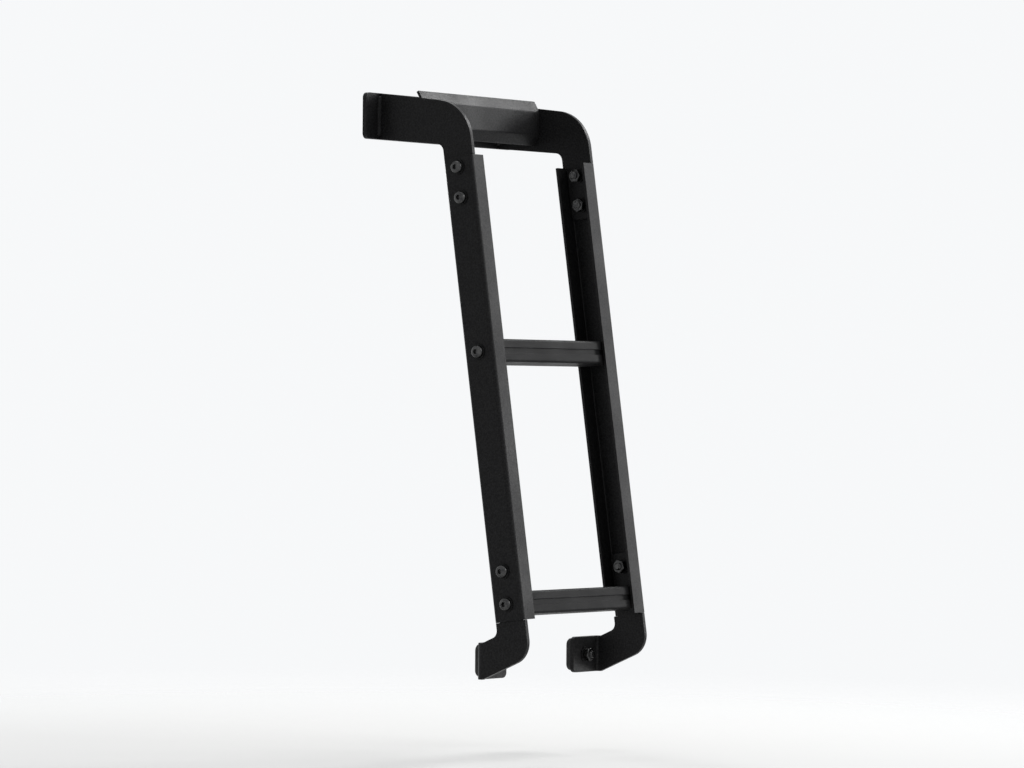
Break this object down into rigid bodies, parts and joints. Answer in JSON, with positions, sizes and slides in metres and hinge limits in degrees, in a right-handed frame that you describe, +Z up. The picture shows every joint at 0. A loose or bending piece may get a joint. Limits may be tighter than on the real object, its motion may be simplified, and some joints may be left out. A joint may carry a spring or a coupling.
{
  "type": "vehicle side ladder",
  "caption": "Black ladder that hangs from the edge of a roof rack: leaning channel rails with grooved rungs, plate arms to a slotted mounting plate, and feet on rubber pads.",
  "frame": {"origin": "centre of the mounting plate's face that lies against the rack", "axes": "+X forward along the rungs, +Y inboard towards the vehicle, +Z up"},
  "size_m": [0.27, 0.2078, 0.6292],
  "materials": {
    "coated_steel": "satin black powder coat",
    "coated_alloy": "black-coated extrusion",
    "pad_rubber": "matte"
  },
  "bodies": {
    "root": {"rack_mounting_plate": "coated_steel", "top_cross_plate": "coated_steel", "rear_top_arm": "coated_steel", "front_top_arm": "coated_steel", "rear_rail": "coated_steel", "front_rail": "coated_steel", "rear_foot": "coated_steel", "front_foot": "coated_steel", "upper_rung": "coated_alloy", "lower_rung": "coated_alloy", "rear_foot_pad": "pad_rubber", "front_foot_pad": "pad_rubber"}
  },
  "joints": []
}
